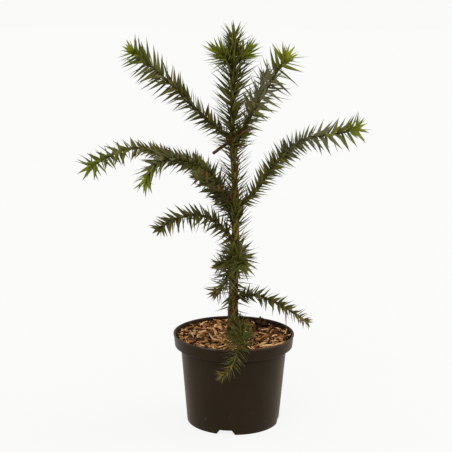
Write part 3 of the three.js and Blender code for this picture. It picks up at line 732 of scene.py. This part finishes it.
# Partly the colour of the cracks, partly painted shade in the grooves between the leaf cushions.
SHOOT_CRACK_AND_SHADE = (0.03, 0.025, 0.007, 1)
LEAF_HABITS = {
    "dense": {
        "spacing": [1.3, 1.3, 1.5, 1.8, 1.8, 1.2], "length": [27, 28, 32, 43, 47, 35],
        "spread": [60, 60, 62, 65, 65, 60], "tilt": [8, 10, 14, 16, 16, 6],
        "width": [5.6, 5.8, 6.4, 7, 7, 6.6], "wild": 9, "roll": (0, 60),
        "tints": [("dark", 0.3), ("deep", 0.82), ("mid", 0.93), ("fresh", 1)],
        "bud": {"leaves": 13, "length": 27, "spread": 80, "tint": "tip"},
    },
    "grey": {
        "spacing": [1.4, 1.4, 1.8, 2.5, 2.4, 1.4], "length": [27, 28, 36, 51, 51, 38],
        "spread": [62, 64, 66, 68, 68, 58], "tilt": [12, 14, 18, 20, 19, 10],
        "width": [6, 6.4, 6.8, 7.2, 7.2, 6.6], "wild": 20, "roll": (0, 66),
        "tints": [("deep", 0.42), ("grey", 0.82), ("mid", 0.9), ("fresh", 1)],
        "bud": {"leaves": 15, "length": 32, "spread": 80, "tint": "tip"},
    },
    "hidden": {
        "spacing": [4, 4, 3.4, 2.4, 2.2, 1.6], "length": [18, 20, 26, 40, 42, 30],
        "spread": [56, 56, 56, 56, 54, 50], "tilt": [15, 15, 15, 15, 10, 5],
        "width": [5, 5, 6, 8, 8, 6.5], "wild": 15, "roll": (0, 50),
        "tints": [("deep", 0.25), ("grey", 1)],
        "bud": {"leaves": 12, "length": 28, "spread": 70, "tint": "mid"},
    },
    "long": {
        "spacing": [1.2, 1.1, 1.0, 0.9, 0.9, 1.1, 2.1, 2.1, 1.5],
        "length": [25, 26, 26, 25, 23, 21, 29, 33, 33],
        "spread": [62, 62, 60, 58, 52, 48, 76, 80, 78], "tilt": [6, 6, 6, 6, 4, 2, 14, 14, 8],
        "width": [5, 5.4, 6, 6.4, 6.2, 5.6, 6.8, 7.6, 7.6], "wild": 10, "roll": (10, 70),
        "tints": [("dark", 0.5), ("deep", 0.74), ("mid", 0.92), ("fresh", 1)],
        "bud": {"leaves": 9, "length": 35, "spread": 95, "tint": "fresh"},
    },
    "lean": {
        "spacing": [1.5, 1.5, 1.4, 1.3, 1.4, 1.7, 1.4], "length": [33, 33, 30, 27, 34, 38, 29],
        "spread": [66, 66, 63, 57, 44, 38, 38], "tilt": [6, 6, 6, 4, 0, 0, 0],
        "width": [4.2, 4.4, 5, 5.6, 6, 5.8, 5.4], "wild": 9, "roll": (0, 55),
        "tints": [("dark", 0.4), ("deep", 0.68), ("grey", 0.88), ("mid", 0.95), ("fresh", 1)],
        "bud": {"leaves": 9, "length": 26, "spread": 66, "tint": "fresh"},
    },
    "comb": {
        "spacing": [1.5, 1.5, 1.4, 1.2, 1.0, 0.9, 0.9, 2.1, 2.4, 2.2, 1.6],
        "length": [25, 25, 26, 29, 31, 30, 26, 35, 40, 39, 33],
        "spread": [64, 64, 64, 68, 74, 74, 66, 62, 64, 62, 58], "tilt": [2, 2, 3, 4, 5, 6, 6, 9, 9, 8, 4],
        "width": [4.6, 4.8, 5.4, 6.2, 7, 7, 6.6, 7, 7.6, 7.6, 7], "wild": 9, "roll": (10, 65),
        "tints": [("dark", 0.1), ("deep", 0.46), ("grey", 0.78), ("mid", 0.92), ("fresh", 1)],
        "bud": {"leaves": 9, "length": 30, "spread": 75, "tint": "tip"},
    },
    "shade": {
        "spacing": [1.4, 1.5, 1.6, 1.6, 1.3], "length": [27, 30, 31, 29, 21],
        "spread": [62, 68, 70, 66, 60], "tilt": [12, 16, 20, 16, 6],
        "width": [5.8, 6.2, 6.6, 6.8, 6], "wild": 9, "roll": (10, 65),
        "tints": [("dark", 0.85), ("deep", 1)],
        "bud": {"leaves": 10, "length": 20, "spread": 80, "tint": "deep"},
    },
    "thin": {
        "spacing": [3.6, 2.8, 2, 1.8, 1.4], "length": [18, 20, 25, 26, 20],
        "spread": [58, 62, 68, 67, 60], "tilt": [0, 0, -2, -2, 0],
        "width": [3.6, 4.2, 6, 7.5, 6.5], "wild": 10, "roll": (10, 60),
        "tints": [("dark", 0.5), ("deep", 0.86), ("mid", 1)],
        "bud": {"leaves": 10, "length": 20, "spread": 80, "tint": "mid"},
    },
    "rosette": {
        "spacing": [1.2, 1.2, 1.3, 1.3], "length": [40, 42, 38, 30],
        "spread": [72, 68, 60, 52], "tilt": [6, 4, 2, 0],
        "width": [5.8, 6, 6.2, 5.8], "wild": 12, "roll": (0, 45),
        "tints": [("dark", 0.6), ("deep", 0.95), ("mid", 1)],
        "bud": {"leaves": 8, "length": 24, "spread": 70, "tint": "deep"},
    },
    "drooping": {
        "spacing": [1.0, 1.0, 1.1, 1.1, 1.1], "length": [37, 38, 37, 33, 26],
        "spread": [70, 70, 66, 62, 56], "tilt": [0],
        "width": [5.6, 5.8, 5.8, 5.4, 4.8], "wild": 11, "roll": (0, 50),
        "tints": [("dark", 0.12), ("deep", 0.5), ("grey", 0.86), ("olive", 1)],
        "bud": {"leaves": 9, "length": 18, "spread": 65, "tint": "olive"},
    },
    "slender": {
        "spacing": [1.5, 1.6, 1.7, 1.6, 1.3], "length": [26, 28, 28, 26, 21],
        "spread": [62, 62, 62, 60, 54], "tilt": [0],
        "width": [5, 5.5, 5.5, 5.5, 5], "wild": 11, "roll": (0, 40),
        "tints": [("dark", 0.5), ("deep", 1)],
        "bud": {"leaves": 9, "length": 20, "spread": 65, "tint": "deep"},
    },
    "hanging": {
        "spacing": [1.1, 1.1, 1.0, 0.7, 0.8, 1.1], "length": [30, 30, 30, 30, 24, 17],
        "spread": [80, 78, 76, 70, 60, 52], "tilt": [0],
        "width": [3.6, 3.6, 3.6, 3.5, 3.2, 2.8], "wild": 12, "roll": (0, 40),
        "tints": [("dark", 0.74), ("deep", 0.88), ("olive", 1)],
        "bud": {"leaves": 8, "length": 17, "spread": 65, "tint": "olive"},
    },
    "worn": {
        "spacing": [1.4, 1.6, 1.9, 2.1, 1.5], "length": [23, 24, 24, 21, 16],
        "spread": [62, 66, 66, 62, 54], "tilt": [-4, -4, -4, -5, 0],
        "width": [7, 7.2, 7, 6, 4.4], "wild": 16, "roll": (5, 60),
        "tints": [("dark", 0.35), ("deep", 0.7), ("olive", 1)],
        "bud": {"leaves": 8, "length": 13, "spread": 60, "tint": "olive"},
    },
    "tuft": {
        "spacing": [0.85, 0.8, 0.7, 0.6], "length": [30, 34, 35, 30],
        "spread": [66, 54, 40, 14], "tilt": [-14, -12, -8, 0],
        "width": [6, 6.6, 6.6, 6], "wild": 8, "roll": (0, 35),
        "tints": [("mid", 0.3), ("fresh", 0.92), ("tip", 1)],
        "bud": {"leaves": 5, "length": 26, "spread": 14, "tint": "tip"},
    },
    "fan": {
        "spacing": [0.75, 0.7, 0.65, 0.55], "length": [35, 39, 39, 32],
        "spread": [80, 66, 46, 14], "tilt": [-10, -8, -4, 0],
        "width": [6, 6.6, 6.6, 6], "wild": 8, "roll": (0, 35),
        "tints": [("mid", 0.3), ("fresh", 0.94), ("tip", 1)],
        "bud": {"leaves": 5, "length": 28, "spread": 14, "tint": "tip"},
    },
    "budding": {
        "spacing": [1.2, 1.1, 1.0, 0.8], "length": [24, 25, 24, 22],
        "spread": [56, 44, 32, 12], "tilt": [0],
        "width": [5.6, 6, 6, 5.6], "wild": 8, "roll": (0, 35),
        "tints": [("deep", 0.4), ("mid", 1)],
        "bud": {"leaves": 4, "length": 20, "spread": 14, "tint": "fresh"},
    },
}
BOUGH_HABITS = {
    "top_left": "dense", "top_right": "grey", "top_back": "hidden", "mid_left": "long", "mid_front": "lean",
    "mid_right": "comb", "mid_back_left": "thin", "mid_back": "thin", "low_left": "shade",
    "low_front": "rosette", "low_front_left": "drooping", "low_back": "shade", "short_left": "slender",
    "low_right": "worn", "foot_front": "hanging", "crown_left": "fan", "crown_right": "tuft",
    "crown_back": "budding",
}


def along_stations(values, share):
    return np.interp(share, np.linspace(0, 1, len(values)), values)


def spiral_roots(length, span, spacing):
    """Shares at which leaves stand along a shoot, by its spacing at even stations."""
    fine = np.linspace(span[0], span[1], SPIRAL_STEPS)
    rate = length / along_stations(spacing, fine)
    grown = np.concatenate([[0], np.cumsum((rate[1:] + rate[:-1]) / 2 * np.diff(fine))])
    return np.interp(np.arange(0.5, grown[-1]), grown, fine)


shoots = []
limbs = []
for name, (height, heading, sway, length, pitches) in BOUGHS.items():
    line = GrowthLine(trunk_line.at(trunk_share(height))[0], heading, sway, length, pitches)
    if name.startswith("crown"):
        root = CROWN_ROOT_RADIUS
    else:
        root = np.interp(length, [0, LONGEST_BOUGH], LIMB_ROOT_RADIUS)

    def limb_radius(share, root=root):
        return root + (LIMB_TIP_RADIUS - root) * share**LIMB_TAPER

    habit = LEAF_HABITS[BOUGH_HABITS[name]]
    leafy = (min(BARE_ROOT_SHARE, BARE_ROOT / length), LAST_LEAF_SHARE)
    roots = spiral_roots(length, leafy, habit["spacing"])
    turns = chances.uniform(0, 2 * np.pi) + np.arange(len(roots)) * GOLDEN_ANGLE
    limbs.append(limb_mesh(line, limb_radius, LIMB_SIDES, LIMB_STEP, (roots, turns), LIMB_CUSHION))
    shoots.append({
        "name": name, "line": line, "roots": roots, "turns": turns, "habit": habit, "radius": limb_radius,
    })

shoot_finish, shoot_paint, place = new_finish("shoot_bark")
patch = mottle(place, 80, 3)
fleck = mottle(place, 500, 2)
swell = place.node("ShaderNodeAttribute", output="Fac", attribute_name="swell")
green = mixed(between(patch, 0.4, 0.65), *SHOOT_GREEN)
# Darker between the leaf cushions: partly dark bark in the cracks, partly painted shade in the grooves.
mixed(between(swell, 0.05, 0.7), SHOOT_CRACK_AND_SHADE, green).into(shoot_paint["Base Color"])
bumped(fleck, 0.35, 0.0004).into(shoot_paint["Normal"])
dulled(shoot_paint, 0.68)
bough_nodes = [f"bough_{name}" for name in BOUGHS if not name.startswith("crown")]
add_piece("bough_wood", joined_limbs("bough_wood", limbs, shoot_finish), "bough_bark", *bough_nodes)

# Leaves: stiff, flat, keeled blades with a sharp point, which keep their place in the spiral for
# years. Old ones are dark and shorter; the new ends of the shoots are a fresh yellow green.
BLADE_ROWS = [
    (0, 0.7), (0.1, 0.94), (0.22, 1), (0.38, 0.88), (0.55, 0.66), (0.72, 0.41), (0.87, 0.18),
]
BLADE_SECTION = {"dip": -0.06, "keel": -0.42}
POINT_ROWS = [(0.87, 0.19), (0.94, 0.1)]
POINT_SECTION = {"dip": 0.08, "keel": -0.5}
POINT_END = 1.02
LEAF_CREASE = 28
LEAF_SHADES = 3
SHADE_START = 0.4
LENGTH_CHANCE = (0.86, 1.1)
WIDTH_CHANCE = (0.88, 1.1)
BEND_CHANCE = (-0.06, 0.1)
LEAF_WILDNESS = 8
ROOT_SINK = 0.55
CLEAR_PARTS = (1, 0.6)
MULCH_CLEARANCE = 163
LIP_CLEARANCE = 171.5
LIP_REACH = (107, 114.5)
TRUNK_CLEARANCE = 0.6
TINT_BLUR = 0.025
WEATHERED_SHARE = 0.16
BUD_DEPTH = 6
BUD_CORE_SPREAD = 5
BUD_OPENING = 0.8
BUD_SHORTENING = 0.2
# Leaves on the trunk: height, chance that one is still there, length, width and spread.
TRUNK_LEAVES = [
    (170, 0.5, 28, 4, 86),
    (188, 0.4, 26, 4, 92),
    (198, 0.1, 28, 5, 104),
    (212, 0.24, 32, 7, 114),
    (236, 0.45, 33, 7, 110),
    (246, 0.7, 38, 6, 104),
    (290, 0.72, 40, 6, 86),
    (334, 0.6, 40, 6, 68),
    (342, 0.57, 38, 5, 54),
    (372, 0.57, 38, 5, 54),
    (380, 1, 34, 7, 42),
    (404, 1, 34, 7, 42),
    (412, 0.68, 37, 5, 56),
    (500, 0.68, 39, 5, 56),
    (520, 0.95, 42, 5.3, 80),
    (538, 0.95, 46, 5.7, 66),
    (640, 0.95, 49, 5.8, 52),
    (670, 0.95, 43, 5.7, 44),
    (697, 0.95, 36, 5.4, 34),
]
LOWEST_TRUNK_LEAF = 170
TRUNK_ZONES = [
    {"below": 198, "node": "foliage_foot_front", "tints": {"dark": 0.7, "deep": 0.3}},
    {"below": 342, "node": "foliage_trunk_low", "tints": {"dark": 0.5, "deep": 0.42, "mid": 0.08}},
    {"below": 520, "node": "foliage_trunk_mid", "tints": {"olive": 0.55, "deep": 0.42, "dry": 0.03},
     "left_tints": {"olive": 0.45, "deep": 0.2, "dry": 0.35}},
    {"below": 750, "node": "foliage_leader", "tints": {"dark": 0.3, "deep": 0.55, "mid": 0.15}},
]
LEFT_SIDE = 0.2
WHORL_ZONES = [
    {"from": 376, "to": 408, "tints": {"dark": 0.6, "deep": 0.4}},
    {"from": 495, "to": 540, "tints": {"olive": 0.5, "deep": 0.32, "dry": 0.18}},
]
SLEEVE_ROLL = (0, 20)
LEADER_ROLL = (0, 45)
TIP_LENGTH = 20
TIP_PITCHES = [89, 90]
TIP_SPACING = [0.9, 0.85, 0.7]
TIP_LEAFY = (0, 0.98)
TIP_STATIONS = [0, 0.6, 1]
TIP_SPREADS = [60, 50, 22]
TIP_LENGTHS = [38, 35, 29]
TIP_LEAF_WIDTH = 5.4
TIP_RADIUS = 2
TIP_OUTER_SHARE = 0.25
TIP_OUTER_TINTS = ["deep", "mid"]
TIP_INNER_TINTS = {"mid": 0.4, "fresh": 0.48, "tip": 0.12}
HUNG_LEAVES = [
    {"bough": "low_right", "share": 0.68, "forward": 2, "length": 42, "width": 2.6},
    {"bough": "mid_front", "share": 0.44, "forward": 17, "length": 20, "width": 4.2},
    {"bough": "mid_front", "share": 0.31, "forward": 17, "length": 14, "width": 3.6},
]
HUNG_SHADE = 1
HUNG_ALONG = (0.04, 0, -1)
HUNG_ACROSS = (1, 0, 0.04)
LEAF_TINTS = {
    "dark": {"low": (0.034, 0.034, 0.0045, 1), "high": (0.088, 0.085, 0.016, 1), "sheen": 0.2},
    "deep": {"low": (0.053, 0.054, 0.007, 1), "high": (0.124, 0.121, 0.025, 1), "sheen": 0.2},
    "grey": {"low": (0.07, 0.07, 0.024, 1), "high": (0.155, 0.15, 0.062, 1), "sheen": 0.22},
    "olive": {"low": (0.065, 0.054, 0.011, 1), "high": (0.15, 0.118, 0.032, 1), "sheen": 0.16},
    "mid": {"low": (0.067, 0.077, 0.0075, 1), "high": (0.133, 0.144, 0.021, 1), "sheen": 0.14},
    "fresh": {"low": (0.102, 0.122, 0.008, 1), "high": (0.185, 0.205, 0.019, 1), "sheen": 0.1},
    "tip": {"low": (0.17, 0.192, 0.0085, 1), "high": (0.33, 0.35, 0.026, 1), "sheen": 0.1},
    "dry": {"low": (0.085, 0.03, 0.01, 1), "high": (0.165, 0.066, 0.025, 1), "sheen": 0.1},
}
FRESH_TINTS = ("mid", "fresh", "tip")
SPINE_TINT = (0.165, 0.105, 0.024, 1)
SPINE_SHEEN = 0.1
LEAF_ROUGHNESS = 0.42
SPINE_ROUGHNESS = 0.5
LEAF_ROUGHNESS_RANGE = 0.2
LEAF_MOTTLE = (160, 2)


def keeled_pattern(name, rows, section, end):
    """One keeled blade from rows of run and half width, drawn to a point at its end."""
    points = []
    runs = []
    for run, half in rows:
        dip = section["dip"] * half
        keel = section["keel"] * half
        points += [(half, 0, run), (0, dip, run), (-half, 0, run), (0, keel, run)]
        runs += [run] * 4
    points.append((0, 0, end))
    runs.append(end)
    faces = [(0, 1, 2, 3)]
    for i in range(len(rows) - 1):
        for k in range(4):
            after = (k + 1) % 4
            faces.append((4 * i + after, 4 * i + k, 4 * i + 4 + k, 4 * i + 4 + after))
    last = 4 * len(rows)
    for k in range(4):
        faces.append((last - 4 + (k + 1) % 4, last - 4 + k, last))
    mesh = bpy.data.meshes.new(name)
    mesh.from_pydata(points, [], faces)
    mesh.attributes.new("run", "FLOAT", "POINT").data.foreach_set("value", runs)
    mesh.shade_smooth()
    mesh.set_sharp_from_angle(angle=math.radians(LEAF_CREASE))
    pattern = bpy.data.objects.new(name, mesh)
    scene.collection.objects.link(pattern)
    return pattern


blade = keeled_pattern("leaf_blade", BLADE_ROWS, BLADE_SECTION, 1)
spine = keeled_pattern("leaf_spine", POINT_ROWS, POINT_SECTION, POINT_END)
leaf_tree, leaf, leaf_result = new_tree("Leaf spray", {
    "Points": "NodeSocketGeometry",
    "Blade": "NodeSocketObject",
    "Finish": "NodeSocketMaterial",
})


def stored(wire, name, kind, output=0):
    """An attribute that the points carry by name."""
    return wire.node("GeometryNodeInputNamedAttribute", {"Name": name}, output=output, data_type=kind)


points = leaf["Points"]
pattern = points.node("GeometryNodeObjectInfo", {"Object": leaf["Blade"]}, output="Geometry")
turn = points.node(
    "FunctionNodeAxesToRotation",
    {0: stored(points, "along", "FLOAT_VECTOR"), 1: stored(points, "across", "FLOAT_VECTOR")},
    primary_axis="Z", secondary_axis="X",
)
size = stored(points, "size", "FLOAT_VECTOR")
setting = {"Points": points, "Instance": pattern, "Rotation": turn, "Scale": size}
placed = points.node("GeometryNodeInstanceOnPoints", setting)
leaves = points.node("GeometryNodeRealizeInstances", {0: placed})
curl = stored(points, "run", "FLOAT") ** 2
bend = stored(points, "bend", "FLOAT_VECTOR")
curve = points.node("ShaderNodeVectorMath", {0: bend, "Scale": curl}, operation="SCALE")
leaves = points.node("GeometryNodeSetPosition", {"Geometry": leaves, "Offset": curve})
points.node("GeometryNodeSetMaterial", {"Geometry": leaves, "Material": leaf["Finish"]}).into(leaf_result)

sprays = {(tint, shade): [] for tint in LEAF_TINTS for shade in range(LEAF_SHADES)}


def hits_something(point):
    """Whether a leaf's point would stand in the pot, the mulch or the trunk."""
    reach = np.hypot(point[0], point[1])
    in_mulch = point[2] < MULCH_CLEARANCE and reach < LIP_REACH[1]
    in_lip = point[2] < LIP_CLEARANCE and LIP_REACH[0] < reach < LIP_REACH[1]
    if in_mulch or in_lip:
        return True
    share = trunk_share(point[2])
    if not 0 <= share <= 1:
        return False
    axis = trunk_line.at(np.array([share]))[0][0]
    return np.linalg.norm(point - axis) < trunk_radius(share) + TRUNK_CLEARANCE


def dealt(tints):
    """One tint, by the share of each."""
    return chances.choice(list(tints), p=list(tints.values()))


def set_leaf(node, tint, frame_at, turn, spread, length, width, radius,
             tilt=0, wild=LEAF_WILDNESS, roll=SLEEVE_ROLL):
    """Adds one leaf to the spray of its tint, unless it would stand in something else."""
    point, tangent, side, up = frame_at
    tilt = math.radians(tilt)
    leant = math.cos(tilt) * tangent - math.sin(tilt) * up
    up = math.cos(tilt) * up + math.sin(tilt) * tangent
    tangent = leant
    spread = math.radians(spread + chances.uniform(-wild, wild))
    turn += math.radians(chances.uniform(-wild, wild))
    length *= chances.uniform(*LENGTH_CHANCE)
    width *= chances.uniform(*WIDTH_CHANCE)
    radial = math.cos(turn) * side + math.sin(turn) * up
    along = math.cos(spread) * tangent + math.sin(spread) * radial
    across = np.cross(tangent, along)
    across /= np.linalg.norm(across)
    roll = math.radians(chances.uniform(*roll)) * chances.choice([-1, 1])
    across = math.cos(roll) * across + math.sin(roll) * np.cross(along, across)
    inner = np.cross(along, across)
    root = point + radial * radius * ROOT_SINK
    if any(hits_something(root + along * length * part) for part in CLEAR_PARTS):
        return
    bend = inner * length * chances.uniform(*BEND_CHANCE)
    size = np.array([width / 2, width / 2, length])
    shade = chances.integers(LEAF_SHADES)
    sprays[tint, shade].append((node, root * MM, along, across, size * MM, bend * MM))


for shoot in shoots:
    habit = shoot["habit"]
    node = f"foliage_{shoot['name']}"
    frames = zip(*shoot["line"].at(shoot["roots"]))
    for share, turn, frame_at in zip(shoot["roots"], shoot["turns"], frames):
        place_in_tints = share + chances.normal(0, TINT_BLUR)
        tint = next((t for t, limit in habit["tints"] if place_in_tints < limit), habit["tints"][-1][0])
        if tint in ("dark", "deep") and chances.random() < WEATHERED_SHARE:
            tint = "olive"
        spread, length, width, tilt = [
            along_stations(habit[key], share) for key in ("spread", "length", "width", "tilt")
        ]
        radius = shoot["radius"](share)
        lie = {"tilt": tilt, "wild": habit["wild"], "roll": habit["roll"]}
        set_leaf(node, tint, frame_at, turn, spread, length, width, radius, **lie)
    bud = habit["bud"]
    for i in range(bud["leaves"]):
        share = i / bud["leaves"]
        frame_at = shoot["line"].at(1 - BUD_DEPTH * (1 - share) / shoot["line"].length)
        spread = BUD_CORE_SPREAD + (bud["spread"] - BUD_CORE_SPREAD) * (1 - share) ** BUD_OPENING
        length = bud["length"] * (1 - BUD_SHORTENING * share)
        width = habit["width"][-1]
        set_leaf(node, bud["tint"], frame_at, i * GOLDEN_ANGLE, spread, length, width, LIMB_TIP_RADIUS)

heights, *trunk_leaf_plan = zip(*TRUNK_LEAVES)
for share, turn, frame_at in zip(trunk_roots, trunk_turns, zip(*trunk_line.at(trunk_roots))):
    height = TRUNK_FOOT[2] + share * TRUNK_LENGTH
    odds, length, width, spread = [np.interp(height, heights, values) for values in trunk_leaf_plan]
    if height < LOWEST_TRUNK_LEAF or chances.random() > odds:
        continue
    zone = next(zone for zone in TRUNK_ZONES if height < zone["below"])
    on_left = math.sin(turn) > LEFT_SIDE and "left_tints" in zone
    tint = dealt(zone["left_tints"] if on_left else zone["tints"])
    for whorl in WHORL_ZONES:
        if whorl["from"] < height < whorl["to"]:
            tint = dealt(whorl["tints"])
    roll = LEADER_ROLL if zone["node"] == "foliage_leader" else SLEEVE_ROLL
    set_leaf(zone["node"], tint, frame_at, turn, spread, length, width, trunk_radius(share), roll=roll)

for plan in HUNG_LEAVES:
    shoot = next(shoot for shoot in shoots if shoot["name"] == plan["bough"])
    root = shoot["line"].at(plan["share"])[0] - np.array([0, plan["forward"], 0])
    size = np.array([plan["width"] / 2, plan["width"] / 2, plan["length"]])
    node = f"foliage_{plan['bough']}"
    sprays["dry", HUNG_SHADE].append((node, root * MM, HUNG_ALONG, HUNG_ACROSS, size * MM, (0, 0, 0)))

tip_line = GrowthLine(trunk_line.at(np.array([1.0]))[0][0], 0, 0, TIP_LENGTH, TIP_PITCHES)
tip_roots = spiral_roots(TIP_LENGTH, TIP_LEAFY, TIP_SPACING)
for i, (share, frame_at) in enumerate(zip(tip_roots, zip(*tip_line.at(tip_roots)))):
    tint = chances.choice(TIP_OUTER_TINTS) if share < TIP_OUTER_SHARE else dealt(TIP_INNER_TINTS)
    spread = np.interp(share, TIP_STATIONS, TIP_SPREADS)
    length = np.interp(share, TIP_STATIONS, TIP_LENGTHS)
    turn = i * GOLDEN_ANGLE
    set_leaf("foliage_leader_tip", tint, frame_at, turn, spread, length, TIP_LEAF_WIDTH, TIP_RADIUS)


def add_spray(name, rows, pattern, finish, slot):
    """A piece made of one pattern set at each row's root, in place of the masses that it grows in."""
    spray = bpy.data.meshes.new(name)
    spray.from_pydata([row[1] for row in rows], [], [])
    for column, label in ((2, "along"), (3, "across"), (4, "size"), (5, "bend")):
        values = np.array([row[column] for row in rows], np.float32).ravel()
        spray.attributes.new(label, "FLOAT_VECTOR", "POINT").data.foreach_set("vector", values)
    leaf_mesh = tree_mesh(leaf_tree, {"Blade": pattern, "Finish": finish}, spray)
    add_piece(name, leaf_mesh, slot, *sorted({row[0] for row in rows}))


for (tint, shade), rows in sprays.items():
    plan = LEAF_TINTS[tint]
    leaf_finish, leaf_paint, place = new_finish(f"leaf_{tint}_{shade + 1}")
    share = (shade + SHADE_START) / (LEAF_SHADES - 1 + 2 * SHADE_START)
    colour = [low + (high - low) * share for low, high in zip(plan["low"], plan["high"])]
    leaf_paint["Base Color"].default_value = colour
    (LEAF_ROUGHNESS + LEAF_ROUGHNESS_RANGE * mottle(place, *LEAF_MOTTLE)).into(leaf_paint["Roughness"])
    leaf_paint["Specular IOR Level"].default_value = plan["sheen"]
    slot = "fresh_foliage" if tint in FRESH_TINTS else "dark_foliage"
    add_spray(f"leaves_{tint}_{shade + 1}", rows, blade, leaf_finish, slot)

spine_finish, spine_paint, place = new_finish("leaf_spine")
spine_paint["Base Color"].default_value = SPINE_TINT
(SPINE_ROUGHNESS + LEAF_ROUGHNESS_RANGE * mottle(place, *LEAF_MOTTLE)).into(spine_paint["Roughness"])
spine_paint["Specular IOR Level"].default_value = SPINE_SHEEN
every_leaf = [row for rows in sprays.values() for row in rows]
add_spray("leaf_spines", every_leaf, spine, spine_finish, "dark_foliage")
bpy.data.objects.remove(spine)
bpy.data.objects.remove(blade)
